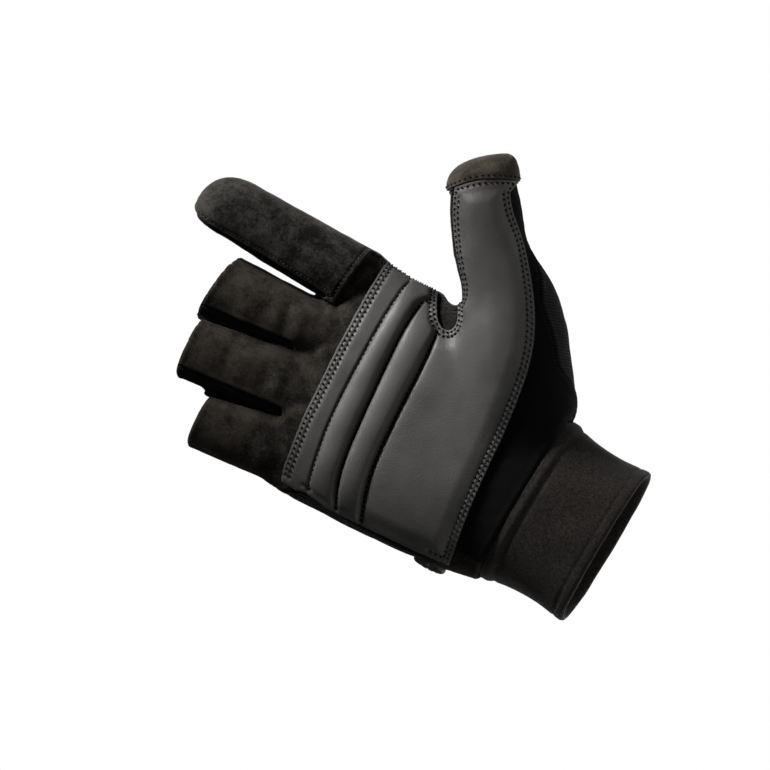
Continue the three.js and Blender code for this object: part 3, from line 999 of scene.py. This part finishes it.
WAVE_BANDS = 20 / (2 * math.pi)  # bands that a wave texture draws per unit at scale 1
WALE_LEAN = 0.4
LEANS_FROM, LEANS_FULLY = 30, 50  # where in x the wales start to lean with the thumb, and lean fully


def knit(name, dark, light, pitch, depth, sheen):
    """Fine ribbed knit: wales that run from the wrist to the fingers, a little lighter on their crests."""
    material, tree, skin, place = new_finish(
        name, Roughness=0.9, IOR=1.45, Specular_IOR_Level=0.1, Sheen_Weight=sheen, Sheen_Roughness=0.5
    )
    # The wales lean with the thumb: x grows with z on the thumb's side
    axes = add_node(tree, "SeparateXYZ", links={0: place}).outputs
    leaning = {"From Min": LEANS_FROM * MM, "From Max": LEANS_FULLY * MM, "To Max": WALE_LEAN}
    slope = add_node(tree, "MapRange", leaning, {"Value": axes[0]}).outputs[0]
    lean = add_node(tree, "Math", {"operation": "MULTIPLY_ADD"}, {0: slope, 1: axes[2], 2: axes[0]})
    leant = add_node(tree, "CombineXYZ", links={0: lean.outputs[0], 1: axes[1], 2: axes[2]}).outputs[0]
    # Two sets of ribs: by x where the cloth faces front or back, and by y where it faces sideways
    rib = {"Scale": per_mm(pitch) / WAVE_BANDS, "Distortion": 1.1, "Detail": 2, "Detail Scale": 2}
    by_x, by_y = (
        add_node(tree, "TexWave", {**rib, "bands_direction": direction}, {"Vector": leant}).outputs[1]
        for direction in ("X", "Y")
    )
    facing = add_node(tree, "NewGeometry")
    sideways = add_node(tree, "SeparateXYZ", links={0: facing.outputs["Normal"]})
    size = add_node(tree, "Math", {"operation": "ABSOLUTE"}, {0: sideways.outputs[0]})
    share = add_node(tree, "MapRange", {"From Min": 0.55, "From Max": 0.8}, {"Value": size.outputs[0]})
    ribs = add_node(tree, "Mix", links={0: share.outputs[0], 2: by_x, 3: by_y}).outputs[0]
    loops = add_node(tree, "TexNoise", {"Scale": per_mm(0.5), "Detail": 3}, {"Vector": place})
    both = add_node(tree, "Math", {"operation": "MULTIPLY_ADD", 1: 0.6}, {0: loops.outputs[0], 2: ribs})
    colour = mixed_colour(tree, both.outputs[0], 0.35, 1.25, linear(dark), linear(light))
    cover(tree, skin, colour, both.outputs[0], 0.8, depth)
    return material


def neoprene(name, dark, light):
    """Jersey-faced neoprene: charcoal and flat, with fine lighter specks from the melange yarn."""
    material, tree, skin, place = new_finish(
        name, Roughness=0.88, IOR=1.45, Specular_IOR_Level=0.15, Sheen_Weight=0.18, Sheen_Roughness=0.4
    )
    yarn = {"Scale": per_mm(0.8), "Detail": 4, "Roughness": 0.75}
    specks = add_node(tree, "TexNoise", yarn, {"Vector": place}).outputs[0]
    clouds = add_node(tree, "TexNoise", {"Scale": per_mm(11), "Detail": 2}, {"Vector": place}).outputs[0]
    both = add_node(tree, "Math", {"operation": "MULTIPLY_ADD", 1: 0.15}, {0: clouds, 2: specks})
    colour = mixed_colour(tree, both.outputs[0], 0.42, 0.82, linear(dark), linear(light))
    weave = add_node(tree, "TexNoise", {"Scale": per_mm(0.35), "Detail": 2}, {"Vector": place})
    cover(tree, skin, colour, weave.outputs[0], 0.7, 0.1)
    return material


def plain(name, colour, roughness, specular, grain=0.3, depth=0.03):
    """Moulded rubber, thread or a cut edge: one colour with a fine uneven surface."""
    material, tree, skin, place = new_finish(name, Roughness=roughness, IOR=1.5, Specular_IOR_Level=specular)
    lumps = add_node(tree, "TexNoise", {"Scale": per_mm(grain), "Detail": 3}, {"Vector": place}).outputs[0]
    darker = tuple(0.6 * part for part in linear(colour)[:3]) + (1,)
    cover(tree, skin, mixed_colour(tree, lumps, 0.25, 0.7, darker, linear(colour)), lumps, 0.6, depth)
    return material


# Painted shade: below 146 mm, and most below 122 mm next to the grip patch, this suede is painted darker
PALM_SUEDE = suede("palm_suede", "#040403", "#2c2823", 0.04, fuzz=0.9, nap=6, depth=0.2, painted_light_heights=(122, 146))
STRIP_SUEDE = suede("strip_suede", "#080808", "#111110", 0.06)
# Painted highlight: from 164 mm up to 190 mm the index finger's suede is painted lighter towards its tip
FUZZY_SUEDE = suede("fuzzy_suede", "#010101", "#34322f", 0.12, fuzz=1.1, nap=7, depth=0.4, painted_light_heights=(164, 190))
CAP_SUEDE = suede("cap_suede", "#28241f", "#524b42", 0.35, fuzz=0.8, depth=0.2)
GRIP = grip_leather("grip_leather", "#353433", "#454341")
JERSEY = knit("jersey", "#020202", "#050505", pitch=0.7, depth=0.05, sheen=0.01)
RIB_KNIT = knit("rib_knit", "#070707", "#1b1b1a", pitch=1.2, depth=0.3, sheen=0.06)
NEOPRENE = neoprene("neoprene", "#090807", "#332e2a")
CUT_EDGE = plain("cut_leather_edge", "#5d5b57", 0.8, 0.2)
SUEDE_EDGE = plain("suede_edge", "#141312", 0.95, 0.1)
LINING = plain("brushed_inside", "#191817", 0.95, 0.1, grain=0.5, depth=0.15)
THREAD_BLACK = plain("black_thread", "#080808", 0.8, 0.15, grain=0.2)
THREAD_GREY = plain("grey_thread", "#35342f", 0.6, 0.3, grain=0.2)
RUBBER = plain("moulded_rubber", "#242424", 0.42, 0.5, grain=0.6, depth=0.02)


# Pieces of the glove


def seam_edge(distance, ridge=0.35, drop=0.55):
    """A sewn edge: a soft ridge over the seam allowance, then a fall into the seam."""
    return ridge * hill(distance - 1.1, 0.8) - drop * hill(distance, 0.4)


CREASES = table(
    "x0 z0 x1 z1 width height",  # ridges and valleys on the palm side, seen from the palm
    (27, 139, 15, 136, 2.4, 0.55),
    (28, 144, 16, 142, 2.2, -0.5),
    (27, 152, 18, 150, 2.6, -0.4),
    (26, 160, 14, 158, 3.0, 0.35),
    (6, 136, -4, 133, 2.2, 0.5),
    (7, 141, -6, 139, 2.0, -0.45),
    (4, 150, -8, 149, 2.6, 0.4),
    (3, 156, -9, 154, 2.2, -0.35),
    (-18, 134, -30, 132, 2.6, -0.4),
    (-18, 141, -31, 140, 2.8, 0.35),
    (34, 124, 22, 118, 2.2, 0.6),
    (14, 127, 24, 117, 2.4, 0.7),
    (12, 126, 10, 112, 2.2, -0.6),
    (-9, 126, -2, 116, 2.4, 0.6),
    (-10, 125, -18, 114, 2.4, -0.5),
    (40, 128, 52, 122, 2.4, 0.5),
    (-26, 128, -20, 118, 2.6, 0.4),
)
CREASE_STRENGTH = 1.15


def creased(points):
    """Height of short soft creases at each point."""
    x, _, z = points.T
    height = np.zeros(len(points))
    for row in CREASES:
        dx, dz = row.x1 - row.x0, row.z1 - row.z0
        length = math.hypot(dx, dz)
        along = ((x - row.x0) * dx + (z - row.z0) * dz) / length
        across = ((x - row.x0) * dz - (z - row.z0) * dx) / length
        fade = smoothstep(along, -3, 3) * (1 - smoothstep(along, length - 3, length + 3))
        height += row.height * fade * hill(across, row.width)
    return CREASE_STRENGTH * height


def soft_cloth(points, seed, size=11, height=0.28):
    """Soft unevenness of a cloth, with finer lumps on the large ones."""
    return height * soft_noise(points, size, seed) + 0.3 * height * soft_noise(points, size / 3.5, seed + 1)


SUNK = 0.6
INSIDE_EDGE = 1  # from this far inside a patch's edge


def under_patches(points):
    """How deep the base cloth lies under the patches sewn over it, so that it never shows through."""
    x, y, z = points.T
    hidden = (polygon_distance(x, z, PAD_OUTLINE) < -INSIDE_EDGE) & (y < 2)
    hidden |= polygon_distance(x, z, thumb_cap_outline()) < -INSIDE_EDGE
    hidden |= (x > 30) & (z > np.interp(x, *zip(*INDEX_HEM)) + INSIDE_EDGE) & (y < 0)
    return np.where(hidden, SUNK, 0)


def heel_field(p, gap):
    """Negative on the heel's jersey, and a gap further where the suede next to it begins."""
    x, _, z = p.T
    corner = polygon_distance(x, z, HEEL_CORNER)
    return np.maximum(above_heel(x, z) - HEEL_OVERLAP - gap, -corner - gap)


def measured(bm):
    """A patch's points, and how far each lies from its open edge."""
    points = coordinates(bm)
    return points, distances(edge_tree(bm), points)


def make_palm(skin):
    bm = patch(skin, palm_side, lambda p: -heel_field(p, SEAM_GAP))
    points, edge = measured(bm)
    relief = seam_edge(edge) + creased(points) + soft_cloth(points, 1) - under_patches(points)
    finishes = [PALM_SUEDE, SUEDE_EDGE, LINING]
    sewn("palm_suede", bm, relief, -WALL, WALL, finishes, ["palm_panel"])


def make_heel(skin):
    bm = patch(skin, palm_side, lambda p: heel_field(p, 0))
    points, edge = measured(bm)
    relief = seam_edge(edge, ridge=0.2, drop=0.3) + soft_cloth(points, 3, size=16, height=0.5)
    relief -= under_patches(points)
    sewn("heel_jersey", bm, relief, -WALL, WALL, [JERSEY, JERSEY, LINING], ["heel_panel"])


THUMB_SIDE_RISE = 1.7  # the knit stands as high as the grip patch it meets on the thumb's inner side


def make_back(skin):
    bm = patch(skin, back_side)
    points, edge = measured(bm)
    relief = seam_edge(edge) + soft_cloth(points, 5, size=14, height=0.35) - under_patches(points)
    x, y, z = points.T
    along, outward = on_thumb_axis(x, z)
    beside_pad = smoothstep(-outward, 2, 10) * smoothstep(along, 50, 64)
    beside_pad *= 1 - smoothstep(y - seam_middle(x, z), 1, 9)
    relief += THUMB_SIDE_RISE * beside_pad
    sewn("back_knit", bm, relief, -WALL, WALL, [RIB_KNIT, RIB_KNIT, LINING], ["back_panel"])


STRIP_BULGE = 1.2  # the index finger's strip stands out as far as the patch beside it
STRIPS_FROM = 118  # the height where the strips begin


def make_strips(skin):
    for right, left in zip(FINGERS, FINGERS[1:]):

        def inside(p, right=right, left=left):
            x, _, z = p.T
            low = finger_at(left, "x", z) - x
            high = x - finger_at(right, "x", z)
            return np.maximum(np.maximum(low, high), STRIPS_FROM - z)

        bm = patch(skin, lambda p: -palm_side(p) + SEAM_GAP, lambda p: -back_side(p) + SEAM_GAP, inside)
        points, edge = measured(bm)
        relief = seam_edge(edge, ridge=0.25) + soft_cloth(points, 7, size=7, height=0.2)
        if right.closed:
            x, _, z = points.T
            gap = crotch_x(right, left, z)
            relief += STRIP_BULGE * smoothstep(x, gap, gap + 2) * smoothstep(edge, 0, 3)
        name = f"strip_{right.name}_{left.name}"
        node = f"fourchette_{right.name}_{left.name}"
        sewn(name, bm, relief, -WALL, WALL, [STRIP_SUEDE, SUEDE_EDGE, LINING], [node])


RIBS = table(
    "upper lower start end",  # which sewn lines a rib lies between, and the x where it begins and ends
    (0, 1, -32, 55.5),
    (1, 2, -32, 46.5),
)
CHANNELS = table(
    "depth width end",  # the sewn lines' grooves, and the x where each fades out
    (0.5, 0.7, 54),
    (1.6, 1.0, 50),
    (1.6, 1.0, 43.5),
)


def rib_relief(points):
    """Two ribs between the sewn lines, rounded off at their ends."""
    x, _, z = points.T
    lines = [line_height(line, x) for line in RIB_LINES]
    height = np.zeros(len(points))
    for rib in RIBS:
        upper, lower = lines[rib.upper], lines[rib.lower]
        t = np.clip((upper - z) / (upper - lower), 0, 1)
        round_top = np.sqrt(np.clip(1 - (2 * t - 1) ** 2, 0, 1))
        ends = smoothstep(x, rib.start, rib.start + 14) * (1 - smoothstep(x, rib.end - 15, rib.end))
        height += RIB_HEIGHT * round_top * np.sqrt(ends)
    return height, lines


def on_the_thumb(x, z):
    """1 on the thumb's part of the grip patch and 0 on the palm's, with a soft change between them."""
    along, outward = on_thumb_axis(x, z)
    return smoothstep(along, 26, 48) * smoothstep(outward, -30, -20)


BORDER_ROWS = (1.1, 2.7)  # how far inside the grip patch's edge its two rows of stitches run
SEWN_FROM = -29.5  # the x from which they show; further left the patch goes into the side seam
HOLE_STEP = 0.4  # a pressed groove is read from points this close together along its row


def make_grip(skin):
    """The grip patch: a sheet over foam, with the ribs and sewn channels raised in it."""
    bm = patch(skin, palm_side, lambda p: polygon_distance(p[:, 0], p[:, 2], PAD_OUTLINE))
    edges = edge_tree(bm)

    def close_to_sewing(p):
        x, _, z = p.T
        near_line = np.zeros(len(p), bool)
        for line in RIB_LINES:
            near_line |= np.abs(z - line_height(line, x)) < 2.2
        return (near_line & (x < 58)) | (distances(edges, p) < 4)

    refine(bm, close_to_sewing)
    edges = edge_tree(bm)
    hem = tree_of([(x, y, z) for x, z in smooth_line(PAD_THUMB_HEM, 12) for y in range(-30, 0)])

    def sewn_here(p):
        return p[:, 0] > SEWN_FROM

    def sewn_twice(p):
        return sewn_here(p) & (distances(hem, p) > 4)

    outer_row, inner_row = BORDER_ROWS
    border = edge_rows(bm, outer_row, sewn_here, edges) + edge_rows(bm, inner_row, sewn_twice, edges)
    channels = [front_line(bm, line) for line in RIB_LINES]
    points = coordinates(bm)
    x, _, z = points.T
    edge = distances(edges, points)
    ribs, lines = rib_relief(points)
    below = np.clip(lines[2] - z, 0, REACH)
    thumb = on_the_thumb(x, z)
    main_field = (1 - np.exp(-below / 2)) * smoothstep(edge, 2.6, 8.5)
    foam = PAD_FOAM * (main_field * (1 - thumb) + smoothstep(edge, 2.6, 8) * thumb)
    ribs *= smoothstep(edge, 1.2, 4.5)
    grooves = np.zeros(len(points))
    for channel, line in zip(CHANNELS, lines):
        groove = channel.depth * hill(z - line, channel.width) * smoothstep(edge, 0.3, 1.6)
        grooves += groove * (1 - smoothstep(x, channel.end - 5, channel.end))
    pressed = 0.28 * hill(distances(tree_of(stitch_holes(border, HOLE_STEP)), points), 0.9)
    holes = tree_of(np.concatenate([stitch_holes(border), stitch_holes(channels)]))
    puckers = 0.24 * hill(distances(holes, points), 0.65)
    rim = 0.3 * hill(edge, 0.35)
    relief = foam + ribs - grooves - pressed - puckers - rim + 0.12 * soft_noise(points, 9, 11)
    finishes = [GRIP, CUT_EDGE, LINING]
    piece = sewn("grip_patch_leather", bm, relief, GAP, PAD, finishes, ["grip_patch"])
    stitches("grip_border_stitches", border, piece, THREAD_BLACK, share=0.56, thread=0.78)
    stitches("grip_channel_stitches", channels, piece, THREAD_BLACK, share=0.6, thread=0.95, sunken=True)


def make_index_patch(skin):
    index, middle = FINGERS[:2]

    def on_index(p):
        x, _, z = p.T
        hem = np.interp(x, *zip(*INDEX_HEM))
        return np.maximum(hem - z, crotch_x(index, middle, z) - x)

    bm = patch(skin, palm_side, on_index)
    edges = edge_tree(bm)
    refine(bm, lambda p: distances(edges, p) < 3)
    rows = edge_rows(bm, 1.9)
    points, edge = measured(bm)
    pressed = 0.45 * hill(distances(tree_of(stitch_holes(rows, HOLE_STEP)), points), 0.6)
    fuzz = 0.07 * soft_noise(points, 0.9, 21) + 0.25 * soft_noise(points, 8, 22)
    relief = fuzz - pressed - 0.4 * hill(edge, 0.35)
    finishes = [FUZZY_SUEDE, SUEDE_EDGE, LINING]
    piece = sewn("index_fuzzy_suede", bm, relief, GAP, PATCH, finishes, ["index_patch"])
    stitches("index_patch_stitches", rows, piece, THREAD_GREY, pitch=1.5, share=0.6, thread=0.5)


def make_thumb_cap(skin):
    outline = thumb_cap_outline()
    bm = patch(skin, lambda p: polygon_distance(p[:, 0], p[:, 2], outline))
    edges = edge_tree(bm)
    refine(bm, lambda p: distances(edges, p) < 4)
    rows = edge_rows(bm, 0.9)
    points, edge = measured(bm)
    pressed = 0.35 * hill(distances(tree_of(stitch_holes(rows, HOLE_STEP)), points), 0.5)
    nap = 0.06 * soft_noise(points, 1, 31) + 0.2 * soft_noise(points, 7, 32)
    relief = nap - pressed - 0.3 * hill(edge, 0.35)
    finishes = [CAP_SUEDE, SUEDE_EDGE, LINING]
    piece = sewn("thumb_cap_suede", bm, relief, GAP, CAP, finishes, ["thumb_cap"])
    stitches("thumb_cap_stitches", rows, piece, THREAD_BLACK, share=0.56, thread=0.7)


def make_cuff():
    """A sleeve of neoprene: outside, rolled mouth, inside, and its edge tucked into the hand."""
    top = SEAM_Z - GAP
    outside = [(z, 0.0) for z in np.linspace(1.2, top - 0.4, 60)]
    turn = [(top, 0.5), (top + 2, 2.0), (top + 5.5, 2.6), (top + 5.6, 4.4)]
    inside = [(z, CUFF_WALL) for z in np.linspace(top - 3, 1.2, 20)]
    mouth = [(0.35, CUFF_WALL - 0.35), (0, CUFF_WALL / 2), (0.35, 0.35)]
    bm = bmesh.new()
    loops = []
    for z, thinner in outside + turn + inside + mouth:
        share = min(max(z / CUFF[-1].z, 0), 1)
        ring = Ring(
            centre=CUFF_AXIS * float(z),
            width_axis=Vector((0, 1, 0)).cross(CUFF_AXIS),
            depth_axis=Vector((0, 1, 0)),
            along_axis=CUFF_AXIS,
            half_width=between(CUFF, "half_width", share) - thinner,
            front=between(CUFF, "front", share) - thinner,
            back=between(CUFF, "back", share) - thinner,
            rake=math.tan(CUFF_RAKE),
        )
        loops.append(add_loop(bm, 220, lambda width, depth: place_on_ring(ring, width, depth, 2.4)))
    bridge(bm, loops + loops[:1])
    bmesh.ops.recalc_face_normals(bm, faces=bm.faces)
    points, out = coordinates(bm) * MM, normals(bm)
    height = points @ np.array(CUFF_AXIS) + points[:, 1] * math.tan(CUFF_RAKE)
    fold = 0.4 * hill(height - top + 2.6, 1.3) - 0.35 * hill(height - top + 5.2, 0.9)
    hem = -0.25 * hill(height - 4.2, 0.6)
    soft = 0.3 * soft_noise(points * np.array([1, 1, 0.6]), 9, 41)
    for vert, place in zip(bm.verts, points + out * (fold + hem + soft)[:, None]):
        vert.co = Vector(place) * MM
    for face in bm.faces:
        face.smooth = True
    finished(new_object("cuff_sleeve", bm), [NEOPRENE], ["cuff"])


TAB_CENTRE = Vector((-33, -0.6, 55.4))
TAB_RADIUS = 6.4
TAB_ACROSS = 0.6  # its width as a share of its length
TAB_TURN = math.radians(110)
# Its size and height, from its foot to the middle of its face
TAB_EDGE = [
    (1.0, 0.5), (1.0, 2.5), (0.97, 3.0), (0.9, 3.35), (0.8, 3.5), (0.5, 3.6), (0.25, 3.62), (0.05, 3.62),
]


def make_rubber_tab():
    """An oval tab with a rounded edge and three grooves, moulded onto the heel's little-finger side."""
    out = Vector((-math.sin(TAB_TURN), math.cos(TAB_TURN), 0))
    side = Vector((math.cos(TAB_TURN), math.sin(TAB_TURN), 0))
    bm = bmesh.new()

    def place(size, height, x, y):
        up, wide = x * size, y * size
        grooved = size < 0.95 and abs(up) < 0.7
        groove = 0.35 * math.exp(-((math.sin(up * 2.5 * math.pi) / 0.4) ** 2)) if grooved else 0
        flat = TAB_CENTRE + Vector((0, 0, 1)) * up * TAB_RADIUS + side * wide * TAB_RADIUS * TAB_ACROSS
        return flat + out * (height - groove)

    close_tube(bm, [add_loop(bm, 72, lambda x, y: place(size, height, x, y)) for size, height in TAB_EDGE])
    finished(new_object("rubber_oval_tab", bm), [RUBBER], ["rubber_tab"])


# Camera, floor and light

PHOTO_MM_PER_PIXEL = 0.37
PHOTO_WIDTH = 770
FRAME_CENTRE = Vector((16.2, 0, 100.2)) * MM  # what the middle of the photograph shows
DISTANCE = 1.0
ELEVATION = math.radians(-4)
FINGERS_LEAN = math.radians(63)  # the fingers point this far left of straight up


def make_camera():
    data = bpy.data.cameras.new("camera")
    data.sensor_width = 36
    data.lens = data.sensor_width * DISTANCE / (PHOTO_WIDTH * PHOTO_MM_PER_PIXEL * MM)
    camera = bpy.data.objects.new("camera", data)
    bpy.context.scene.collection.objects.link(camera)
    back = Vector((0, -math.cos(ELEVATION), math.sin(ELEVATION)))
    upright = (-back).to_track_quat("-Z", "Y").to_matrix()
    turned = upright @ Matrix.Rotation(-FINGERS_LEAN, 3, "Z")
    camera.matrix_world = Matrix.Translation(FRAME_CENTRE + back * DISTANCE) @ turned.to_4x4()
    bpy.context.scene.camera = camera


def make_floor():
    bm = bmesh.new()
    bmesh.ops.create_grid(bm, x_segments=1, y_segments=1, size=0.6)
    bmesh.ops.translate(bm, verts=bm.verts, vec=(0.016, 0, -0.17))
    floor = new_object("floor", bm)
    white, glow = linear("#f2f2f0"), linear("#ffffff")
    finish = {"Roughness": 0.9, "Base_Color": white, "Emission_Color": glow, "Emission_Strength": 0.25}
    floor.data.materials.append(new_finish("pale_floor", **finish)[0])


def make_world():
    """White all round, and dimmer as a light than it looks."""
    world = bpy.data.worlds.new("studio")
    world.use_nodes = True
    bpy.context.scene.world = world
    tree = world.node_tree
    tree.nodes.clear()
    seen, lit = (
        add_node(tree, "Background", {"Color": linear("#ffffff"), "Strength": strength}).outputs[0]
        for strength in (1.0, 0.05)
    )
    path = add_node(tree, "LightPath").outputs["Is Camera Ray"]
    either = add_node(tree, "MixShader", links={0: path, 1: lit, 2: seen})
    add_node(tree, "OutputWorld", links={0: either.outputs[0]})


def add_light(name, place, size, power, aim=(0, 0, 0), spread=180):
    """A soft square light that faces a point near the frame's centre and fades at the edge of its spread."""
    data = bpy.data.lights.new(name, "AREA")
    data.size = size
    data.energy = power
    data.spread = math.radians(spread)
    light = bpy.data.objects.new(name, data)
    bpy.context.scene.collection.objects.link(light)
    light.location = FRAME_CENTRE + Vector(place)
    light.rotation_euler = (Vector(aim) - Vector(place)).to_track_quat("-Z", "Y").to_euler()


def make_lights():
    add_light("key", (0.18, -0.16, 0.455), 0.14, 0.225, aim=(0.03, -0.02, 0.05), spread=25)
    add_light("side", (0.8, -0.2, -0.15), 0.4, 0.9)
    add_light("fill", (-0.5, -0.9, -0.2), 0.9, 0.1)
    add_light("behind", (0.1, 0.9, 0.6), 0.9, 8)


make_camera()
make_floor()
make_world()
make_lights()
bpy.context.scene.view_settings.view_transform = "Standard"

skin = hand_skin()
make_palm(skin)
make_heel(skin)
make_back(skin)
make_strips(skin)
make_grip(skin)
make_index_patch(skin)
make_thumb_cap(skin)
make_cuff()
make_rubber_tab()
skin.free()
